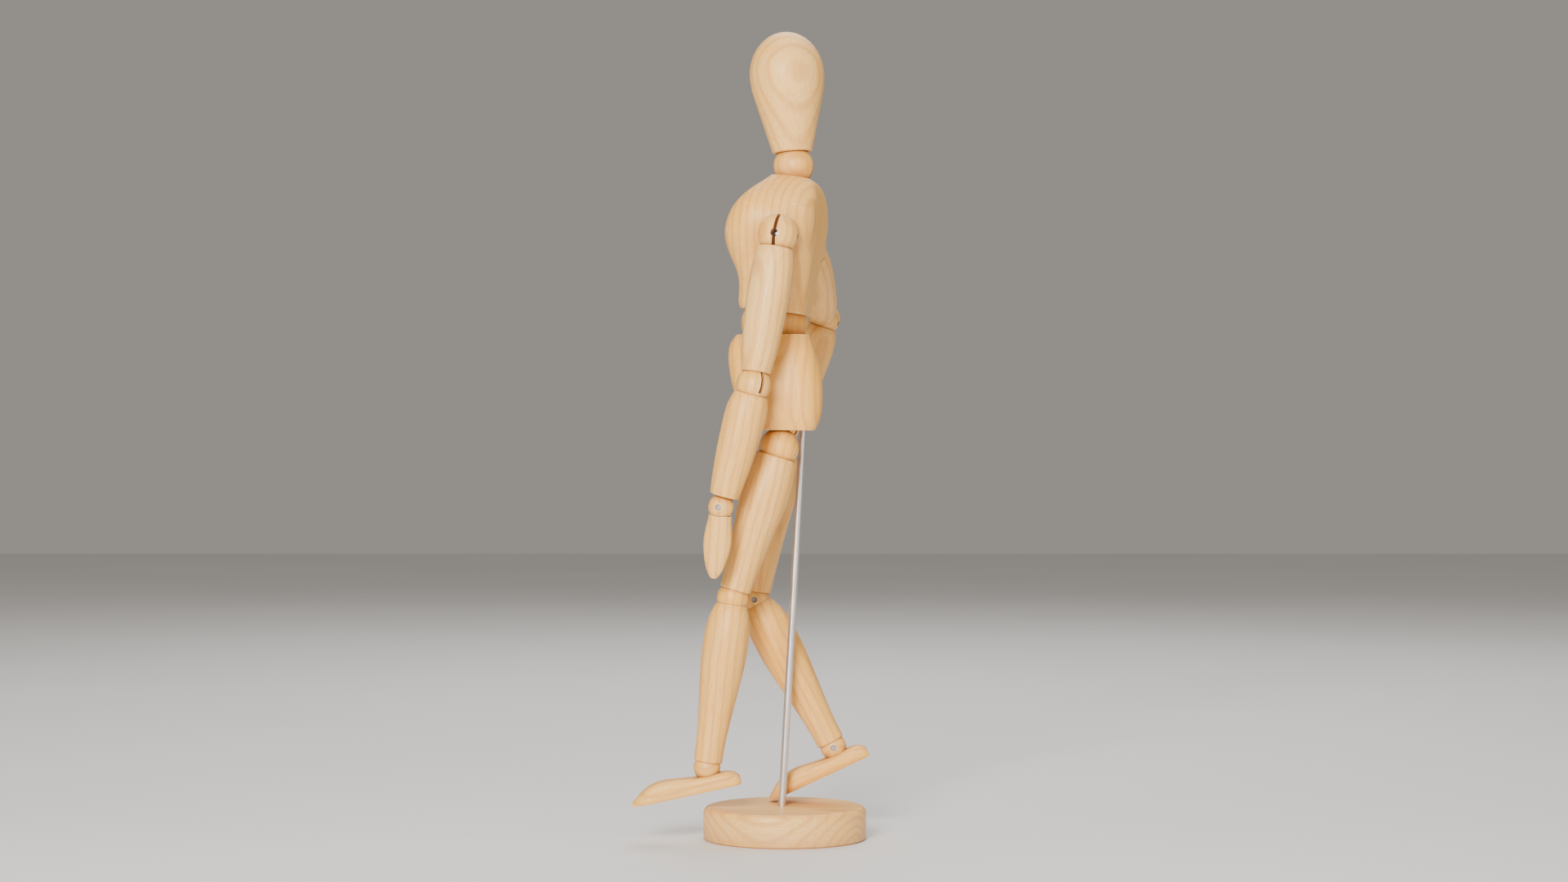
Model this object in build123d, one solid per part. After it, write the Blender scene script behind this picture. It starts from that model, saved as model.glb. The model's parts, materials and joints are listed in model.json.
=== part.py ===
from build123d import *
import os

# All lengths are millimetres and all angles degrees. +Z is up, the figure faces -Y, its left side is +X.
# The origin is the centre of the base's underside.

# Base and rod
BASE_RADIUS = 33.0
BASE_HEIGHT = 13.2
BASE_EDGE_ROUND = 2.6
BASE_FOOT_CHAMFER = 0.6
ROD_RADIUS = 1.5
ROD_FOOT_Y = -1.2
ROD_LEAN = 3.15
ROD_DEPTH_IN_BASE = 10.0

# Clearances
CUP_GAP = 0.2
RUNNING_GAP = 0.05
LOOSE_GAP = 0.3

# Hidden steel
WIRE_RADIUS = 0.45
STEM_RADIUS = 0.8
STEM_HEAD_RADIUS = 1.3
STEM_HEAD_THICKNESS = 0.6
PIN_RADIUS = 1.25
PIN_RECESS = 1.0
PIN_BLIND_WALL = 1.5
EYE_RADIUS = 2.1
EYE_THICKNESS = 1.0
SLOT_WIDTH = 1.4
COIL_RADIUS = 1.7
COIL_PITCH = 1.6
SPRING_BORE = 2.05
SCREW_RADIUS = 1.0
SPRING_REACH = 1.2
COIL_OVERLAP = 1.0
HAND_PEG = 9.0
POCKET_FLOOR = EYE_RADIUS + LOOSE_GAP + STEM_HEAD_THICKNESS + LOOSE_GAP

# Joint balls
NECK_BALL_RADIUS = 8.15
WAIST_BALL_RADIUS = 13.3
SHOULDER_BALL_RADIUS = 8.1
ELBOW_BALL_RADIUS = 6.9
WRIST_BALL_RADIUS = 5.1
HIP_BALL_RADIUS = 8.0
KNEE_BALL_RADIUS = 6.3
ANKLE_BALL_RADIUS = 5.4

# Joint centres
WAIST_CENTRE = (0, -4.3, 209.1)
HIP_SPACING = 14.0
HIP_Y = -2.3
HIP_Z = 158.6
NECK_HEIGHT = 64.25
SHOULDER_SPACING = 29.8
SHOULDER_BACK = 3.5
SHOULDER_HEIGHT = 34.0
UPPER_ARM_LENGTH = 60.8
FOREARM_LENGTH = 50.0
THIGH_LENGTH = 63.0
SHIN_LENGTH = 68.8

# Stored walking pose: leans about X, turns about the piece's own axis
CHEST_LEAN = -7.0
CHEST_YAW = -11.5
HEAD_LEAN = 11.3
SHOULDER_SWING = {"left": -1.0, "right": 0.5}
SHOULDER_RAISE = {"left": 6.0, "right": 64.5}
ELBOW_TURN = {"left": 48.0, "right": 77.0}
ELBOW_BEND = {"left": 11.4, "right": 66.0}
WRIST_TURN = {"left": 48.0, "right": -70.0}
WRIST_BEND = {"left": -9.0, "right": 8.0}
HIP_SWING = {"left": -17.2, "right": -9.3}
KNEE_BEND = {"left": 8.6, "right": 37.4}
ANKLE_BEND = {"left": 20.6, "right": -3.5}

# Turned outlines: radius and height below the upper joint centre
UPPER_ARM_OUTLINE = [(7.1, -5.6), (8.2, -12.0), (8.5, -20.0), (7.9, -37.0), (6.8, -50.0), (5.8, -56.0)]
FOREARM_OUTLINE = [(6.4, -3.6), (7.8, -8.0), (8.2, -18.0), (7.8, -26.0), (6.6, -39.0), (5.7, -45.6)]
THIGH_OUTLINE = [(8.3, -3.6), (9.5, -12.0), (9.8, -20.0), (8.5, -33.0), (7.2, -46.0), (6.2, -59.8)]
SHIN_OUTLINE = [(5.9, -2.4), (8.3, -9.0), (9.1, -18.0), (8.3, -33.0), (6.6, -49.0), (5.7, -66.6)]
HEAD_TAPER = [(8.0, 0.0), (14.2, 24.0)]
HEAD_WIDEST = (15.15, 31.7)
HEAD_SLOPE = (0.25, 1)
HEAD_CROWN = 49.2
HEAD_BASE = 5.5
QUARTER_ARC_PULL = 0.5523
RIM_ROUND = 0.8

# Chest sections: height, front, back, half width
CHEST_SECTIONS = [
    (4.4, -13.3, 13.3, 14.4),
    (11.0, -14.6, 13.5, 16.0),
    (22.0, -17.8, 14.0, 19.0),
    (34.5, -22.0, 14.4, 25.0),
    (44.0, -19.7, 14.2, 25.5),
    (51.5, -15.0, 13.3, 20.5),
    (57.2, -9.5, 11.0, 13.5),
    (59.4, -7.6, 8.2, 10.0),
]
CHEST_ROUNDNESS = 0.72
# Pelvis sections: height, front, back, half width
PELVIS_SECTIONS = [
    (165.6, -11.0, 11.9, 20.5),
    (171.6, -15.6, 14.5, 22.0),
    (179.0, -19.6, 15.2, 22.5),
    (187.0, -21.8, 14.8, 22.0),
    (194.5, -22.7, 13.2, 20.5),
    (204.1, -19.4, 9.8, 16.5),
]
PELVIS_ROUNDNESS = 0.55
SHOULDER_RECESS_RADIUS = 10.0
WAIST_CAP_HEIGHT = 10.5

# Hidden lengths
ROD_TOP = 171.0
PELVIS_SPRING_LENGTH = 43.3
ANCHOR_RADIUS = 3.0
ANCHOR_DEPTH = 2.4
SCREW_EYE_LENGTH = 22.0
HEAD_SCREW_LENGTH = 20.0

# Hand and foot
# Hand sections: distance below the wrist, half width along Y, half thickness
HAND_SECTIONS = [
    (3.4, 4.6, 3.7),
    (9.0, 5.3, 3.7),
    (14.0, 5.6, 3.4),
    (20.0, 4.8, 2.8),
    (25.0, 3.3, 2.0),
    (28.4, 1.1, 0.8),
]
FOOT_DROP = 9.2
SOLE_CUT = 80.0
FOOT_UNDERCUT = 0.8
FOOT_ROUNDNESS = 0.7
# Foot sections: distance along Y, half width, height over the sole
FOOT_SECTIONS = [
    (12.1, 3.2, 3.2),
    (9.5, 4.8, 5.5),
    (2.0, 5.7, 6.2),
    (-7.0, 6.3, 6.4),
    (-15.0, 7.0, 7.3),
    (-21.0, 7.2, 7.3),
    (-28.0, 5.4, 4.6),
    (-32.3, 2.4, 1.5),
]

SIDES = {"left": 1, "right": -1}

# Frames of the trunk
ROD_FRAME = Pos(0, ROD_FOOT_Y, BASE_HEIGHT) * Rot(X=-ROD_LEAN)
WAIST_FRAME = Pos(*WAIST_CENTRE)
WAIST_BALL_FRAME = WAIST_FRAME * Rot(X=CHEST_LEAN) * Rot(X=180)
CHEST_FRAME = WAIST_FRAME * Rot(X=CHEST_LEAN) * Rot(Z=CHEST_YAW)
NECK_FRAME = CHEST_FRAME * Pos(0, 0, NECK_HEIGHT)
HEAD_FRAME = NECK_FRAME * Rot(X=HEAD_LEAN)
HIP_SOCKETS = {side: Pos(sign * HIP_SPACING, HIP_Y, HIP_Z) for side, sign in SIDES.items()}
SHOULDERS = {
    side: CHEST_FRAME * Pos(sign * SHOULDER_SPACING, SHOULDER_BACK, SHOULDER_HEIGHT)
    for side, sign in SIDES.items()
}
# Z points outwards along the swing axis and X lies along the shoulder pin
SHOULDER_SOCKETS = {side: SHOULDERS[side] * Rot(Y=90 * sign) * Rot(Z=90) for side, sign in SIDES.items()}


def rounded_block(sections, roundness):
    """Loft through rounded rectangles; roundness is the corner radius as a share of the smaller half side."""
    faces = []
    for height, front, back, half_width in sections:
        half_depth = (back - front) / 2
        corner = roundness * min(half_depth, half_width)
        outline = RectangleRounded(2 * half_width, 2 * half_depth, corner)
        faces.append(Pos(0, (front + back) / 2, height) * outline)
    return loft(faces)


def turned(outline):
    """Solid of revolution about Z through the outline points, flat and softly rounded at both ends."""
    (_, top), (_, bottom) = outline[0], outline[-1]
    edge = Spline(*outline)
    closing = Polyline(outline[-1], (0, bottom), (0, top), outline[0])
    solid = revolve(make_face(Plane.XZ * (edge + closing)), Axis.Z)
    return fillet(solid.edges().filter_by(GeomType.CIRCLE), RIM_ROUND)


def column(radius, low, high):
    """Round bar on the Z axis between two heights."""
    return Pos(0, 0, (low + high) / 2) * Cylinder(radius, high - low)


def limb(outline, length, upper_ball, lower_ball):
    """Turned limb with a cup at each end and a spring bore through it."""
    piece = turned(outline)
    piece -= Sphere(upper_ball + CUP_GAP)
    piece -= Pos(0, 0, -length) * Sphere(lower_ball + CUP_GAP)
    return piece - column(SPRING_BORE, -length, 0)


def slotted_ball(radius, pin_side):
    """Ball with its pin on X, a slot open to +Z for a spring eye and a stem hole towards -Z."""
    drop = EYE_RADIUS + LOOSE_GAP
    ball = Sphere(radius)
    ball -= Pos(0, 0, (radius - drop) / 2) * Box(SLOT_WIDTH, 2 * radius, radius + drop)
    ball -= column(STEM_HEAD_RADIUS + LOOSE_GAP, -POCKET_FLOOR, radius)
    ball -= column(STEM_RADIUS + RUNNING_GAP, -radius, -POCKET_FLOOR)
    return ball - pin_bar(radius, pin_side, 0)


def pin_bar(radius, pin_side, recess):
    """Cross pin from the blind wall to a recess below the ball's open side."""
    blind = radius - PIN_BLIND_WALL
    mouth = radius - recess
    return Pos(pin_side * (mouth - blind) / 2, 0, 0) * Rot(Y=90) * Cylinder(PIN_RADIUS, mouth + blind)


def eye(turn):
    """Wire eye round a pin that lies along X after a turn about Z."""
    ring = Cylinder(EYE_RADIUS, EYE_THICKNESS) - Cylinder(PIN_RADIUS + RUNNING_GAP, EYE_THICKNESS)
    return Rot(Z=turn) * Rot(Y=90) * ring


def headed_stem(low):
    """Swivel stem that hangs from its head in a ball's pocket down to the given height."""
    top = -EYE_RADIUS - LOOSE_GAP - LOOSE_GAP / 2
    head = column(STEM_HEAD_RADIUS, top - STEM_HEAD_THICKNESS, top)
    return head + column(STEM_RADIUS, low, top - STEM_HEAD_THICKNESS)


def coil(low, high):
    """Closed coils drawn as a row of rings along Z."""
    count = round((high - low) / COIL_PITCH)
    pitch = (high - low) / count
    inner = COIL_RADIUS - pitch / 2
    rings = Curve()
    for number in range(count):
        start = low + number * pitch
        rings += ThreePointArc((inner, start), (COIL_RADIUS, start + pitch / 2), (inner, start + pitch))
    closing = Polyline((inner, high), (0, high), (0, low), (inner, low))
    return revolve(make_face(Plane.XZ * (rings + closing)), Axis.Z)


def hook(height, direction, turn, reach):
    """Wire end with its eye at a height; the wire runs along Z in the given direction."""
    near = height + direction * (PIN_RADIUS + RUNNING_GAP + WIRE_RADIUS / 2)
    far = height + direction * (reach + COIL_OVERLAP)
    return Pos(0, 0, height) * eye(turn) + column(WIRE_RADIUS, min(near, far), max(near, far))


def spring_with_two_eyes(length, upper_ball, lower_ball, upper_turn, lower_turn):
    upper_reach = upper_ball + SPRING_REACH
    lower_reach = lower_ball + SPRING_REACH
    body = coil(-length + lower_reach, -upper_reach)
    return body + hook(0, -1, upper_turn, upper_reach) + hook(-length, 1, lower_turn, lower_reach)


def spring_with_stem_and_eye(length, upper_ball, lower_ball, lower_turn):
    """Swivel stem in the upper ball, coils, then an eye on the lower pin."""
    start = -upper_ball - SPRING_REACH
    lower_reach = lower_ball + SPRING_REACH
    body = coil(-length + lower_reach, start)
    return body + headed_stem(start - COIL_OVERLAP) + hook(-length, 1, lower_turn, lower_reach)


def screw_eye(length, ball_radius):
    """Eye on a pin at the origin with a shank screwed upwards into wood."""
    neck = ball_radius + LOOSE_GAP
    shank = column(SCREW_RADIUS, neck, length)
    wire = column(WIRE_RADIUS, PIN_RADIUS + RUNNING_GAP + WIRE_RADIUS / 2, neck + COIL_OVERLAP)
    return eye(0) + wire + shank


def make_base():
    disc = fillet(column(BASE_RADIUS, 0, BASE_HEIGHT).edges().group_by(Axis.Z)[-1], BASE_EDGE_ROUND)
    disc = chamfer(disc.edges().group_by(Axis.Z)[0], BASE_FOOT_CHAMFER)
    return disc - ROD_FRAME * column(ROD_RADIUS, -ROD_DEPTH_IN_BASE, BASE_HEIGHT)


def make_rod():
    return ROD_FRAME * column(ROD_RADIUS, -ROD_DEPTH_IN_BASE, ROD_TOP)


def make_pelvis():
    block = rounded_block(PELVIS_SECTIONS, PELVIS_ROUNDNESS)
    block -= WAIST_FRAME * Sphere(WAIST_BALL_RADIUS + CUP_GAP)
    block -= WAIST_FRAME * column(SPRING_BORE, -PELVIS_SPRING_LENGTH, 0)
    block -= WAIST_FRAME * column(ANCHOR_RADIUS, -PELVIS_SPRING_LENGTH, -PELVIS_SPRING_LENGTH + ANCHOR_DEPTH)
    for side in SIDES:
        block -= HIP_SOCKETS[side] * Sphere(HIP_BALL_RADIUS + CUP_GAP)
        block -= HIP_SOCKETS[side] * column(SCREW_RADIUS, 0, SCREW_EYE_LENGTH)
    return block - ROD_FRAME * column(ROD_RADIUS + RUNNING_GAP, 0, ROD_TOP + LOOSE_GAP)


def make_pelvis_spring():
    foot = -PELVIS_SPRING_LENGTH + ANCHOR_DEPTH
    reach = WAIST_BALL_RADIUS + SPRING_REACH
    tail = column(WIRE_RADIUS, foot - STEM_HEAD_THICKNESS, foot + SPRING_REACH + COIL_OVERLAP)
    anchor = column(ANCHOR_RADIUS - LOOSE_GAP, foot - STEM_HEAD_THICKNESS, foot)
    return WAIST_FRAME * (coil(foot + SPRING_REACH, -reach) + hook(0, -1, 0, reach) + tail + anchor)


def make_hip_anchors():
    return Compound(children=[HIP_SOCKETS[side] * screw_eye(SCREW_EYE_LENGTH, HIP_BALL_RADIUS) for side in SIDES])


def make_waist_ball():
    cap = WAIST_CAP_HEIGHT
    ball = slotted_ball(WAIST_BALL_RADIUS, 1) & Box(2 * WAIST_BALL_RADIUS, 2 * WAIST_BALL_RADIUS, 2 * cap)
    return WAIST_BALL_FRAME * ball


def make_chest():
    block = CHEST_FRAME * rounded_block(CHEST_SECTIONS, CHEST_ROUNDNESS)
    block -= CHEST_FRAME * Sphere(WAIST_BALL_RADIUS + CUP_GAP)
    block -= NECK_FRAME * Sphere(NECK_BALL_RADIUS + CUP_GAP)
    block -= CHEST_FRAME * column(SPRING_BORE, 0, NECK_HEIGHT)
    for side, sign in SIDES.items():
        recess_x = SHOULDER_SPACING - SHOULDER_BALL_RADIUS - CUP_GAP + SHOULDER_RECESS_RADIUS
        recess = Pos(sign * recess_x, SHOULDER_BACK, SHOULDER_HEIGHT) * Sphere(SHOULDER_RECESS_RADIUS)
        block -= CHEST_FRAME * recess
        block -= SHOULDER_SOCKETS[side] * column(COIL_RADIUS + RUNNING_GAP, -SHOULDER_SPACING, 0)
    return block


def make_chest_spring():
    spring = spring_with_stem_and_eye(NECK_HEIGHT, WAIST_BALL_RADIUS, NECK_BALL_RADIUS, 0)
    return CHEST_FRAME * Rot(X=180) * spring


def make_shoulder_spring():
    """Spring across the chest with a swivel stem held in each shoulder ball."""
    start = -SHOULDER_BALL_RADIUS - SPRING_REACH
    spring = SHOULDER_SOCKETS["left"] * coil(-2 * SHOULDER_SPACING - start, start)
    for side in SIDES:
        spring += SHOULDER_SOCKETS[side] * headed_stem(start - COIL_OVERLAP)
    return spring


def make_head():
    """Egg with a flat underside, turned about the neck axis."""
    taper = Line(*HEAD_TAPER)
    cheek = Spline(HEAD_TAPER[1], HEAD_WIDEST, tangents=[HEAD_SLOPE, (0, 1)])
    radius, middle = HEAD_WIDEST
    rise = middle + QUARTER_ARC_PULL * (HEAD_CROWN - middle)
    crown = Bezier(HEAD_WIDEST, (radius, rise), (QUARTER_ARC_PULL * radius, HEAD_CROWN), (0, HEAD_CROWN))
    closing = Polyline((0, HEAD_CROWN), (0, 0), HEAD_TAPER[0])
    egg = revolve(make_face(Plane.XZ * (taper + cheek + crown + closing)), Axis.Z)
    egg = fillet(egg.edges().filter_by(GeomType.CIRCLE).group_by(Axis.Z)[0], RIM_ROUND)
    egg = HEAD_FRAME * Pos(0, 0, HEAD_BASE) * egg
    egg -= HEAD_FRAME * Sphere(NECK_BALL_RADIUS + CUP_GAP)
    return egg - HEAD_FRAME * column(SCREW_RADIUS, 0, HEAD_SCREW_LENGTH)


def make_head_stud():
    stem = headed_stem(-NECK_BALL_RADIUS)
    shank = column(SCREW_RADIUS, -HEAD_SCREW_LENGTH, -NECK_BALL_RADIUS - LOOSE_GAP)
    return HEAD_FRAME * Rot(X=180) * (stem + shank + column(STEM_RADIUS, -HEAD_SCREW_LENGTH, -NECK_BALL_RADIUS))


def make_hand():
    palm = loft([Pos(0, 0, -drop) * Ellipse(half_x, half_y) for drop, half_y, half_x in HAND_SECTIONS])
    palm -= Sphere(WRIST_BALL_RADIUS + CUP_GAP)
    return palm + headed_stem(-HAND_PEG)


def make_foot():
    """Wedge foot lofted from heel to toe, flat under the sole, toe towards -Y."""
    faces = []
    for along, half_width, height in FOOT_SECTIONS:
        depth = height + FOOT_UNDERCUT
        corner = FOOT_ROUNDNESS * min(half_width, depth / 2)
        outline = RectangleRounded(2 * half_width, depth, corner)
        section = Plane(origin=(0, along, 0), x_dir=(1, 0, 0), z_dir=(0, -1, 0))
        faces.append(section * Pos(0, height - depth / 2 - FOOT_DROP) * outline)
    wedge = loft(faces)
    wedge -= Pos(0, 0, -FOOT_DROP - SOLE_CUT / 2) * Box(SOLE_CUT, SOLE_CUT, SOLE_CUT)
    wedge -= Sphere(ANKLE_BALL_RADIUS + CUP_GAP)
    return wedge + headed_stem(-ANKLE_BALL_RADIUS - STEM_RADIUS)


def arm_frames(side):
    """Frames of the shoulder ball, upper arm, elbow ball, forearm, wrist ball and hand."""
    sign = SIDES[side]
    swung = SHOULDERS[side] * Rot(X=SHOULDER_SWING[side])
    ball = swung * Rot(Y=90 * sign) * Rot(Z=90)
    upper = swung * Rot(Y=-sign * SHOULDER_RAISE[side])
    elbow = upper * Pos(0, 0, -UPPER_ARM_LENGTH) * Rot(Z=-sign * ELBOW_TURN[side]) * Rot(X=-ELBOW_BEND[side])
    wrist = elbow * Pos(0, 0, -FOREARM_LENGTH) * Rot(Z=sign * WRIST_TURN[side]) * Rot(X=-WRIST_BEND[side])
    return ball, upper, elbow, wrist


def leg_frames(side):
    """Frames of the thigh, shin and foot, each at its upper joint."""
    thigh = HIP_SOCKETS[side] * Rot(X=HIP_SWING[side])
    shin = thigh * Pos(0, 0, -THIGH_LENGTH) * Rot(X=KNEE_BEND[side])
    foot = shin * Pos(0, 0, -SHIN_LENGTH) * Rot(X=ANKLE_BEND[side])
    return thigh, shin, foot


def arm_parts(side):
    sign = SIDES[side]
    ball, upper, elbow, wrist = arm_frames(side)
    elbow_turn = -sign * ELBOW_TURN[side]
    wrist_turn = sign * WRIST_TURN[side]
    upper_arm = limb(UPPER_ARM_OUTLINE, UPPER_ARM_LENGTH, SHOULDER_BALL_RADIUS, ELBOW_BALL_RADIUS)
    forearm = limb(FOREARM_OUTLINE, FOREARM_LENGTH, ELBOW_BALL_RADIUS, WRIST_BALL_RADIUS)
    upper_spring = spring_with_two_eyes(
        UPPER_ARM_LENGTH, SHOULDER_BALL_RADIUS, ELBOW_BALL_RADIUS, 90, elbow_turn
    )
    fore_spring = spring_with_stem_and_eye(FOREARM_LENGTH, ELBOW_BALL_RADIUS, WRIST_BALL_RADIUS, wrist_turn)
    return {
        "shoulder_ball": ball * slotted_ball(SHOULDER_BALL_RADIUS, sign),
        "shoulder_pin": ball * pin_bar(SHOULDER_BALL_RADIUS, sign, PIN_RECESS),
        "upper_arm": upper * upper_arm,
        "upper_arm_spring": upper * upper_spring,
        "elbow_ball": elbow * slotted_ball(ELBOW_BALL_RADIUS, -sign),
        "elbow_pin": elbow * pin_bar(ELBOW_BALL_RADIUS, -sign, PIN_RECESS),
        "forearm": elbow * forearm,
        "forearm_spring": elbow * fore_spring,
        "wrist_ball": wrist * slotted_ball(WRIST_BALL_RADIUS, sign),
        "wrist_pin": wrist * pin_bar(WRIST_BALL_RADIUS, sign, PIN_RECESS),
        "hand": wrist * make_hand(),
    }


def leg_parts(side):
    sign = SIDES[side]
    thigh, shin, foot = leg_frames(side)
    thigh_spring = spring_with_stem_and_eye(THIGH_LENGTH, HIP_BALL_RADIUS, KNEE_BALL_RADIUS, 0)
    shin_spring = spring_with_stem_and_eye(SHIN_LENGTH, KNEE_BALL_RADIUS, ANKLE_BALL_RADIUS, 0)
    return {
        "hip_ball": thigh * slotted_ball(HIP_BALL_RADIUS, -sign),
        "hip_pin": thigh * pin_bar(HIP_BALL_RADIUS, -sign, PIN_RECESS),
        "thigh": thigh * limb(THIGH_OUTLINE, THIGH_LENGTH, HIP_BALL_RADIUS, KNEE_BALL_RADIUS),
        "thigh_spring": thigh * thigh_spring,
        "knee_ball": shin * slotted_ball(KNEE_BALL_RADIUS, -sign),
        "knee_pin": shin * pin_bar(KNEE_BALL_RADIUS, -sign, PIN_RECESS),
        "shin": shin * limb(SHIN_OUTLINE, SHIN_LENGTH, KNEE_BALL_RADIUS, ANKLE_BALL_RADIUS),
        "shin_spring": shin * shin_spring,
        "ankle_ball": foot * slotted_ball(ANKLE_BALL_RADIUS, -sign),
        "ankle_pin": foot * pin_bar(ANKLE_BALL_RADIUS, -sign, PIN_RECESS),
        "foot": foot * make_foot(),
    }


def trunk_parts():
    neck_ball = slotted_ball(NECK_BALL_RADIUS, -1)
    neck_frame = HEAD_FRAME * Rot(X=180)
    return {
        "base_disc": make_base(),
        "support_rod": make_rod(),
        "pelvis_block": make_pelvis(),
        "pelvis_spring": make_pelvis_spring(),
        "hip_anchors": make_hip_anchors(),
        "waist_ball": make_waist_ball(),
        "waist_pin": WAIST_BALL_FRAME * pin_bar(WAIST_BALL_RADIUS, 1, PIN_RECESS),
        "chest_block": make_chest(),
        "chest_spring": make_chest_spring(),
        "shoulder_spring": make_shoulder_spring(),
        "neck_ball": neck_frame * neck_ball,
        "neck_pin": neck_frame * pin_bar(NECK_BALL_RADIUS, -1, PIN_RECESS),
        "head": make_head(),
        "head_stud": make_head_stud(),
    }


def main():
    os.makedirs("parts", exist_ok=True)
    parts = trunk_parts()
    for side in SIDES:
        for name, shape in (arm_parts(side) | leg_parts(side)).items():
            parts[f"{name}_{side}"] = shape
    for name, shape in parts.items():
        export_step(shape, f"parts/{name}.step")


if __name__ == "__main__":
    main()
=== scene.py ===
import json
import math

import bpy
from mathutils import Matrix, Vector

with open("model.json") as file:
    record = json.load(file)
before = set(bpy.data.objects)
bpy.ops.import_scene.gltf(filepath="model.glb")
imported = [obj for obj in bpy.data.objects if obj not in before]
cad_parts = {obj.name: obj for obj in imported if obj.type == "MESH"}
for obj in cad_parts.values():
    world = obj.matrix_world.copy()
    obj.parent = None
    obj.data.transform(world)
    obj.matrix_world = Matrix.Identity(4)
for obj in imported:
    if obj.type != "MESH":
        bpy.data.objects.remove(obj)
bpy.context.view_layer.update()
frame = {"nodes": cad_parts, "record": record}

# Camera, in metres
CAMERA_DISTANCE = 1.19
CAMERA_HEIGHT = 0.1613
CAMERA_SIDE = -0.00033
LENS_MM = 67.3
SENSOR_MM = 36.0

# Colours, linear
WOOD_PALE = (0.90, 0.57, 0.21)
WOOD_WARM = (0.90, 0.42, 0.04)
WOOD_RING = (0.60, 0.23, 0.035)
WOOD_WORN = (0.93, 0.66, 0.32)
# Pore colour, also used for the painted shade in cups, slots and gaps
WOOD_PORE_AND_SHADE = (0.40, 0.145, 0.03)
ROD_COLOURS = ((0.70, 0.61, 0.56), (0.80, 0.72, 0.67))
PIN_COLOURS = ((0.07, 0.038, 0.02), (0.20, 0.115, 0.06))
WIRE_COLOURS = ((0.30, 0.29, 0.28), (0.45, 0.44, 0.43))
METAL_WORN = (0.72, 0.69, 0.66)
FLOOR_COLOURS = ((0.72, 0.71, 0.70), (0.76, 0.755, 0.745))

# How far each kind of piece leans from the pale tone to the warm one; partly the wood's own tone
# and partly painted light and shade: head and arms are kept pale where the light is whiter,
# legs, feet and the shaded chest side lean warm
WARMTH_AND_SHADE = {
    "base_disc": 0.30,
    "pelvis_block": 0.75,
    "waist_ball": 0.85,
    "chest_block": 0.70,
    "neck_ball": 0.85,
    "head": 0.30,
    "shoulder_ball": 0.45,
    "upper_arm": 0.25,
    "elbow_ball": 0.75,
    "forearm": 0.50,
    "wrist_ball": 0.75,
    "hand": 0.40,
    "hip_ball": 0.80,
    "thigh": 0.72,
    "knee_ball": 0.85,
    "shin": 0.75,
    "ankle_ball": 0.88,
    "foot": 0.88,
}

# Each piece's own tone, ring centre and noise offset, stepped by its number in the sorted nodes
TONE_SPREAD = 0.12
TONE_STRIDE = 7
TONE_STEPS = 5
LOWEST_TONE_SHARE = 0.45
RING_OFFSET = 0.010
RING_OFFSET_STEP = 0.004
RING_STRIDE = 3
RING_STEPS = 4
SEED_SHIFTS = (0.37, 0.61, 0.17)
RING_SIDE_SHARE = 0.6

# Noise stretch on two axes across the grain or bar and one along it, in cycles per metre
BROAD_STRETCH = (34, 34, 9)
FIBRE_STRETCH = (420, 420, 16)
STREAK_STRETCH = (1500, 1500, 42)
PORE_STRETCH = (5200, 5200, 330)
CLOUD_STRETCH = (160, 160, 60)
SCRATCH_STRETCH = (900, 240, 900)

# Turn of the scratches in radians, and how many times finer drawn lines are across the bar
SCRATCH_TURN = (0.5, 0.3, 0)
DRAWN_LINE_RATIO = 60

# Growth rings; the tilt is in radians
RING_TILT = (0.045, 0.03, 0)
RING_WAVE = {
    "Scale": 95.0,
    "Distortion": 2.2,
    "Detail": 2.5,
    "Detail Scale": 0.35,
    "Detail Roughness": 0.5,
}
RING_EDGE = (0.55, 1.0)
RING_STRENGTH = 0.44

# Ranges: the input's low and high, then the value given at each unless the name ends in INPUT
BROAD_INPUT = (0.34, 0.68)
STREAK_TINT = (0.46, 0.72, 0.0, 0.50)
FIBRE_TINT = (0.46, 0.72, 0.0, 0.55)
PORE_TINT = (0.64, 0.80, 0.0, 0.30)
EDGE_TINT = (0.52, 0.60, 0.0, 0.45)
# Painted shade in recesses: occlusion low and high, then the shade's share at each
RECESS_SHADE_RANGE = (0.25, 0.97, 0.70, 0.0)
WOOD_ROUGHNESS = (0.6, 1.4, 0.40, 0.56)
METAL_CLOUD_INPUT = (0.30, 0.70)
METAL_SCRATCH_TINT = (0.62, 0.80, 0.0, 0.35)
METAL_EDGE_TINT = (0.53, 0.62, 0.0, 0.5)
METAL_ROUGHNESS_INPUT = (0.6, 1.4)
FLOOR_CLOUD_INPUT = (0.3, 0.7)
FLOOR_ROUGHNESS = (0.3, 0.7, 0.62, 0.72)

# How far off a recess is felt for the painted shade, in metres, and the rays used to find it
RECESS_REACH = 0.009
RECESS_SAMPLES = 8

# Shares of the streaks and pores in the wood's relief
STREAK_HEIGHT = 0.7
PORE_HEIGHT = 0.5

# Surface relief: bump strength, then height in metres
WOOD_RELIEF = (0.16, 0.00022)
FLOOR_RELIEF = (0.05, 0.0002)
METAL_RELIEF_HEIGHT = 0.00008

# Steel: colours, roughness range, drawn lines in cycles per metre, bump strength
ROD_STEEL = (ROD_COLOURS, (0.26, 0.42), 5200, 0.10)
PIN_STEEL = (PIN_COLOURS, (0.60, 0.78), 4200, 0.25)
WIRE_STEEL = (WIRE_COLOURS, (0.30, 0.46), 4200, 0.15)

# Directions of the drawn lines and of the grain that follow no joint
PIN_AXIS = Vector((1, 0, 0))
UPRIGHT = Vector((0, 0, 1))
BASE_GRAIN = Vector((0.2, 1, 0)).normalized()

# Floor noise, in cycles per metre
FLOOR_CLOUD_SCALE = 3.0
FLOOR_TOOTH_SCALE = 900.0

# Floor, in metres and squares
FLOOR_HALF_SIDE = 3.0
FLOOR_SQUARES = 24

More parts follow.
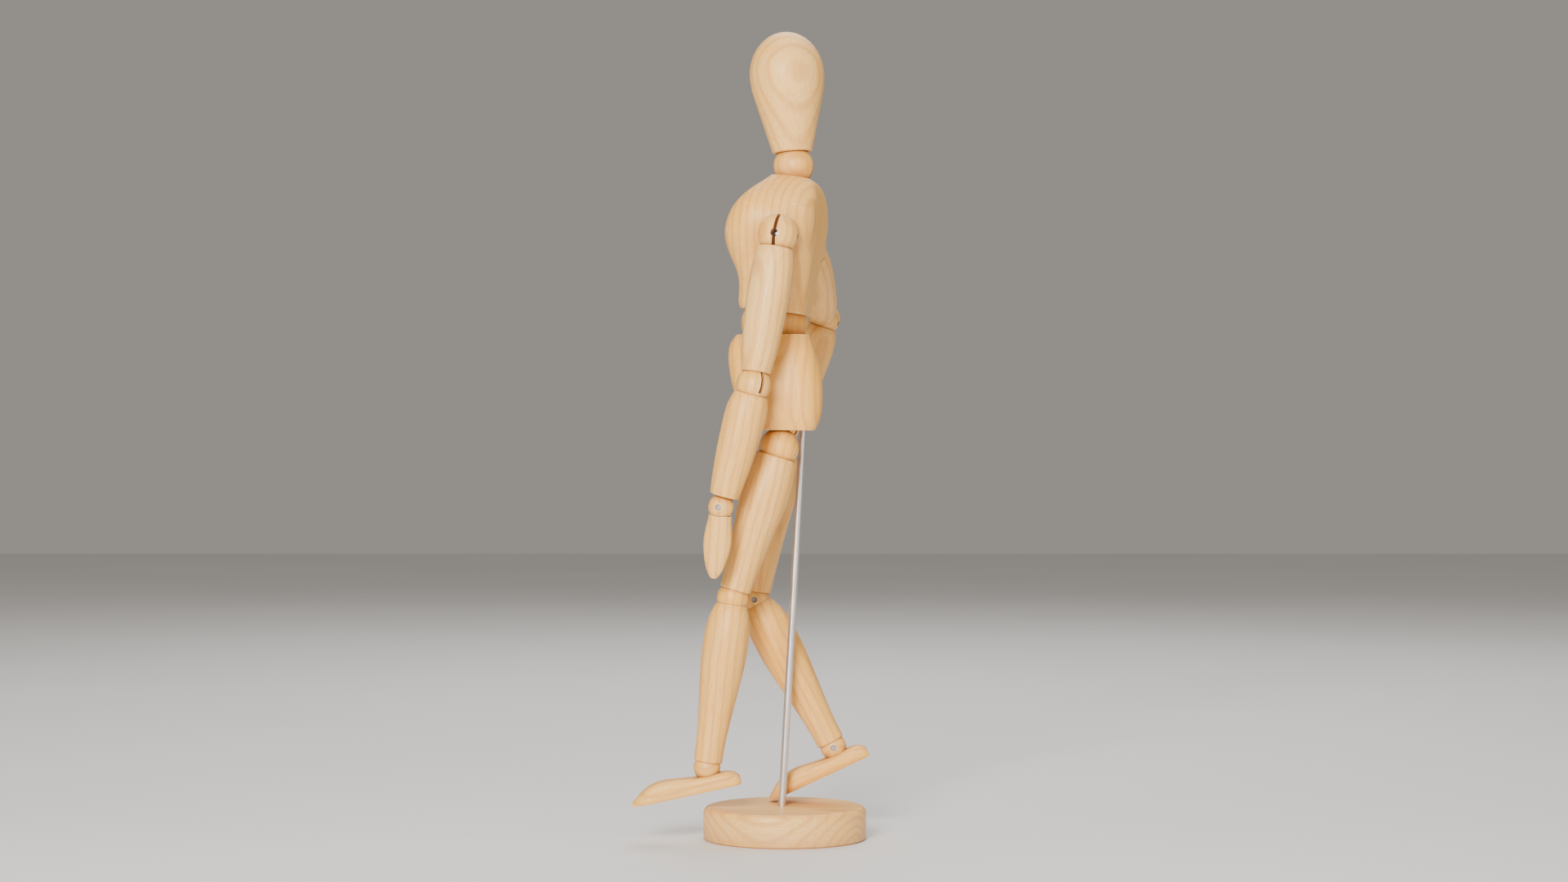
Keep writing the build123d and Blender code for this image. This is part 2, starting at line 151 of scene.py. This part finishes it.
# Lights: place in metres, diameter in metres, power in watts, colour
LIGHT_TARGET = (0, 0, 0.17)
LIGHTS = {
    "key": ((1.35, -0.35, 0.62), 0.55, 38.0, (1.0, 0.985, 0.96)),
    "fill": ((1.0, 1.0, 0.40), 0.9, 5.0, (1.0, 0.97, 0.93)),
    "top": ((-0.2, 0.1, 1.3), 1.0, 6.0, (1.0, 0.99, 0.97)),
    "back": ((-0.9, 0.1, 1.1), 1.0, 9.0, (1.0, 0.985, 0.96)),
}
WORLD_COLOUR = (0.86, 0.80, 0.74, 1.0)
WORLD_STRENGTH = 0.36

JOINTS = {joint["name"]: joint for joint in frame["record"]["behaviour"]["joints"]}
SIDES = ("left", "right")


def joint_axis(name):
    return Vector(JOINTS[name]["axis"])


def direction(start, end):
    """Unit vector from one joint's centre to another's."""
    span = Vector(JOINTS[end]["pos_m"]) - Vector(JOINTS[start]["pos_m"])
    return span.normalized()


def grain_axes():
    """Node name to the direction of its grain: along each limb, upright in the trunk."""
    axes = {}
    for side in SIDES:
        upper = direction(f"elbow_bend_{side}", f"shoulder_swing_{side}")
        fore = direction(f"wrist_bend_{side}", f"elbow_bend_{side}")
        hand = joint_axis(f"hand_twist_{side}")
        thigh = direction(f"knee_bend_{side}", f"hip_swing_{side}")
        shin = direction(f"ankle_bend_{side}", f"knee_bend_{side}")
        foot = joint_axis(f"ankle_bend_{side}").cross(joint_axis(f"foot_twist_{side}"))
        axes |= {f"upper_arm_{side}": upper, f"shoulder_ball_{side}": upper}
        axes |= {f"forearm_{side}": fore, f"elbow_ball_{side}": fore}
        axes |= {f"hand_{side}": hand, f"wrist_ball_{side}": hand}
        axes |= {f"thigh_{side}": thigh, f"hip_ball_{side}": thigh}
        axes |= {f"shin_{side}": shin, f"knee_ball_{side}": shin}
        axes |= {f"foot_{side}": foot, f"ankle_ball_{side}": foot}
    trunk = joint_axis("chest_twist")
    head = joint_axis("head_turn")
    axes |= {"chest_block": trunk, "waist_ball": trunk, "head": head, "neck_ball": head}
    axes |= {"pelvis_block": UPRIGHT, "base_disc": BASE_GRAIN}
    return axes


def turn_to_z(axis):
    """Rotation that brings the axis onto Z."""
    return tuple(axis.to_track_quat("Z", "Y").inverted().to_euler())


class Graph:
    """A small helper that adds nodes and links to one material."""

    def __init__(self, name):
        self.material = bpy.data.materials.new(name)
        self.material.use_nodes = True
        self.tree = self.material.node_tree
        self.tree.nodes.clear()

    def join(self, socket, value):
        """Links a socket into this one, or sets its value."""
        if isinstance(value, bpy.types.NodeSocket):
            self.tree.links.new(value, socket)
        else:
            socket.default_value = value

    def add(self, kind, inputs):
        node = self.tree.nodes.new(kind)
        for key, value in inputs.items():
            self.join(node.inputs[key], value)
        return node

    def place(self):
        return self.add("ShaderNodeTexCoord", {}).outputs["Object"]

    def pointiness(self):
        return self.add("ShaderNodeNewGeometry", {}).outputs["Pointiness"]

    def noise(self, vector, scale=1.0, detail=4.0, roughness=0.55, distortion=0.0):
        settings = {
            "Vector": vector,
            "Scale": scale,
            "Detail": detail,
            "Roughness": roughness,
            "Distortion": distortion,
        }
        return self.add("ShaderNodeTexNoise", settings).outputs["Fac"]

    def mapped(self, vector, rotation=(0, 0, 0), scale=(1, 1, 1), location=(0, 0, 0)):
        settings = {"Vector": vector, "Rotation": rotation, "Scale": scale, "Location": location}
        return self.add("ShaderNodeMapping", settings).outputs["Vector"]

    def ramp(self, value, low, high, start=0.0, end=1.0):
        settings = {
            "Value": value,
            "From Min": low,
            "From Max": high,
            "To Min": start,
            "To Max": end,
        }
        return self.add("ShaderNodeMapRange", settings).outputs["Result"]

    def mix(self, factor, first, second):
        """Colour mix; plain colours are given as three numbers."""
        node = self.tree.nodes.new("ShaderNodeMix")
        node.data_type = "RGBA"
        self.join(node.inputs[0], factor)
        sockets = [socket for socket in node.inputs if socket.type == "RGBA"]
        for socket, colour in zip(sockets, (first, second)):
            self.join(socket, (*colour, 1.0) if isinstance(colour, tuple) else colour)
        return next(socket for socket in node.outputs if socket.type == "RGBA")

    def math(self, operation, first, second):
        node = self.tree.nodes.new("ShaderNodeMath")
        node.operation = operation
        self.join(node.inputs[0], first)
        self.join(node.inputs[1], second)
        return node.outputs[0]

    def finish(self, colour, roughness, height, strength, distance, shader):
        relief = {"Height": height, "Strength": strength, "Distance": distance}
        normal = self.add("ShaderNodeBump", relief).outputs["Normal"]
        settings = {"Base Color": colour, "Roughness": roughness, "Normal": normal, **shader}
        surface = self.add("ShaderNodeBsdfPrincipled", settings)
        self.add("ShaderNodeOutputMaterial", {"Surface": surface.outputs["BSDF"]})
        return self.material


def growth_rings(graph, aligned, shift):
    """Dark lines of the growth rings, centred off the piece's axis."""
    centre = (shift, shift * RING_SIDE_SHARE, 0)
    place = graph.mapped(aligned, location=centre, rotation=RING_TILT)
    rings = graph.add("ShaderNodeTexWave", {"Vector": place, **RING_WAVE})
    rings.wave_type = "RINGS"
    rings.rings_direction = "Z"
    return graph.ramp(rings.outputs["Fac"], *RING_EDGE)


def painted_recess_shade(graph):
    """Share of the painted shade, a deep colour, in cups, slots and gaps, found by ambient
    occlusion.
    """
    shade = graph.add("ShaderNodeAmbientOcclusion", {"Distance": RECESS_REACH})
    shade.samples = RECESS_SAMPLES
    return graph.ramp(shade.outputs["AO"], *RECESS_SHADE_RANGE)


def wood(name, axis, seed, warmth_and_shade, ring_shift):
    """Pale turned wood: growth rings, long streaks, pores, worn edges and painted shade in
    recesses.
    """
    graph = Graph(name)
    aligned = graph.mapped(graph.place(), rotation=turn_to_z(axis))
    local = graph.mapped(aligned, location=tuple(seed * shift % 1.0 for shift in SEED_SHIFTS))
    broad = graph.noise(graph.mapped(local, scale=BROAD_STRETCH), detail=3.0)
    streaks = graph.noise(graph.mapped(local, scale=STREAK_STRETCH), detail=5.0, roughness=0.6)
    pores = graph.noise(graph.mapped(local, scale=PORE_STRETCH), detail=2.0, roughness=0.5)
    fibre = graph.noise(graph.mapped(local, scale=FIBRE_STRETCH), roughness=0.62, distortion=0.4)
    rings = growth_rings(graph, aligned, ring_shift)
    tone = graph.ramp(broad, *BROAD_INPUT, LOWEST_TONE_SHARE * warmth_and_shade, warmth_and_shade)
    colour = graph.mix(tone, WOOD_PALE, WOOD_WARM)
    colour = graph.mix(graph.math("MULTIPLY", rings, RING_STRENGTH), colour, WOOD_RING)
    colour = graph.mix(graph.ramp(streaks, *STREAK_TINT), colour, WOOD_RING)
    colour = graph.mix(graph.ramp(fibre, *FIBRE_TINT), colour, WOOD_WARM)
    colour = graph.mix(graph.ramp(pores, *PORE_TINT), colour, WOOD_PORE_AND_SHADE)
    colour = graph.mix(graph.ramp(graph.pointiness(), *EDGE_TINT), colour, WOOD_WORN)
    # Painted shade: cups, slots and gaps darkened towards the deep colour by ambient occlusion
    colour = graph.mix(painted_recess_shade(graph), colour, WOOD_PORE_AND_SHADE)
    roughness = graph.ramp(graph.math("ADD", fibre, broad), *WOOD_ROUGHNESS)
    raised = graph.math("MULTIPLY", streaks, STREAK_HEIGHT)
    pitted = graph.math("MULTIPLY", pores, PORE_HEIGHT)
    height = graph.math("ADD", raised, pitted)
    shader = {"Specular IOR Level": 0.42, "Coat Weight": 0.06, "Coat Roughness": 0.4}
    return graph.finish(colour, roughness, height, *WOOD_RELIEF, shader)


def metal(name, axis, colours, roughness_range, line_scale, bump):
    """Drawn steel: fine lines along the bar, cloudy tarnish and small scratches."""
    graph = Graph(name)
    aligned = graph.mapped(graph.place(), rotation=turn_to_z(axis))
    line_stretch = (line_scale, line_scale, line_scale / DRAWN_LINE_RATIO)
    lines = graph.noise(graph.mapped(aligned, scale=line_stretch), roughness=0.6)
    cloud = graph.noise(graph.mapped(aligned, scale=CLOUD_STRETCH), roughness=0.6)
    scratched = graph.mapped(aligned, scale=SCRATCH_STRETCH, rotation=SCRATCH_TURN)
    scratch = graph.noise(scratched, detail=3.0, roughness=0.5)
    colour = graph.mix(graph.ramp(cloud, *METAL_CLOUD_INPUT), *colours)
    colour = graph.mix(graph.ramp(scratch, *METAL_SCRATCH_TINT), colour, colours[0])
    colour = graph.mix(graph.ramp(graph.pointiness(), *METAL_EDGE_TINT), colour, METAL_WORN)
    unevenness = graph.math("ADD", lines, cloud)
    roughness = graph.ramp(unevenness, *METAL_ROUGHNESS_INPUT, *roughness_range)
    return graph.finish(colour, roughness, lines, bump, METAL_RELIEF_HEIGHT, {"Metallic": 1.0})


def floor_material():
    graph = Graph("studio_floor")
    place = graph.place()
    cloud = graph.noise(place, FLOOR_CLOUD_SCALE)
    tooth = graph.noise(place, FLOOR_TOOTH_SCALE, detail=3.0)
    colour = graph.mix(graph.ramp(cloud, *FLOOR_CLOUD_INPUT), *FLOOR_COLOURS)
    return graph.finish(colour, graph.ramp(tooth, *FLOOR_ROUGHNESS), tooth, *FLOOR_RELIEF, {})


def assign(node, material):
    mesh = frame["nodes"][node].data
    mesh.materials.clear()
    mesh.materials.append(material)


def wood_for(node, axis, number):
    """The wood of one piece, with its own seed and ring centre, and a tone that is partly its
    own and partly painted shade.
    """
    kind = node.removesuffix("_left").removesuffix("_right")
    tone_step = number * TONE_STRIDE % TONE_STEPS
    warmth_and_shade = WARMTH_AND_SHADE[kind] + TONE_SPREAD * tone_step / (TONE_STEPS - 1)
    ring_shift = RING_OFFSET + RING_OFFSET_STEP * (number * RING_STRIDE % RING_STEPS)
    return wood(f"wood_{node}", axis, number + 1, warmth_and_shade, ring_shift)


def finish_nodes():
    """Gives every CAD node its material."""
    axes = grain_axes()
    rod = metal("rod_steel", joint_axis("pelvis_swivel"), *ROD_STEEL)
    pin = metal("pin_steel", PIN_AXIS, *PIN_STEEL)
    wire = metal("wire_steel", UPRIGHT, *WIRE_STEEL)
    for number, node in enumerate(sorted(frame["nodes"])):
        if node in axes:
            assign(node, wood_for(node, axes[node], number))
        elif node == "support_rod":
            assign(node, rod)
        elif "pin" in node.split("_"):
            assign(node, pin)
        else:
            assign(node, wire)


def add_floor():
    """A flat square grid under the object."""
    row = FLOOR_SQUARES + 1
    step = 2 * FLOOR_HALF_SIDE / FLOOR_SQUARES
    marks = [-FLOOR_HALF_SIDE + number * step for number in range(row)]
    points = [(x, y, 0.0) for x in marks for y in marks]
    corners = [i * row + j for i in range(FLOOR_SQUARES) for j in range(FLOOR_SQUARES)]
    faces = [(corner, corner + row, corner + row + 1, corner + 1) for corner in corners]
    mesh = bpy.data.meshes.new("studio_floor")
    mesh.from_pydata(points, [], faces)
    mesh.materials.append(floor_material())
    floor = bpy.data.objects.new("studio_floor", mesh)
    bpy.context.collection.objects.link(floor)


def add_light(name, place, size, power, colour):
    """Round soft light aimed at the middle of the object."""
    data = bpy.data.lights.new(name, "AREA")
    data.shape = "DISK"
    data.size = size
    data.energy = power
    data.color = colour
    light = bpy.data.objects.new(name, data)
    light.location = place
    aim = Vector(LIGHT_TARGET) - Vector(place)
    light.rotation_euler = aim.to_track_quat("-Z", "Y").to_euler()
    bpy.context.collection.objects.link(light)


def add_world():
    world = bpy.data.worlds.new("studio")
    world.use_nodes = True
    background = world.node_tree.nodes["Background"]
    background.inputs["Color"].default_value = WORLD_COLOUR
    background.inputs["Strength"].default_value = WORLD_STRENGTH
    bpy.context.scene.world = world


def add_camera():
    """Level camera that looks along -X at the figure's left side."""
    data = bpy.data.cameras.new("camera")
    data.lens = LENS_MM
    data.sensor_width = SENSOR_MM
    camera = bpy.data.objects.new("camera", data)
    camera.location = (CAMERA_DISTANCE, CAMERA_SIDE, CAMERA_HEIGHT)
    camera.rotation_euler = (math.pi / 2, 0, math.pi / 2)
    bpy.context.collection.objects.link(camera)
    bpy.context.scene.camera = camera


finish_nodes()
add_floor()
for light_name, light_settings in LIGHTS.items():
    add_light(light_name, *light_settings)
add_world()
add_camera()
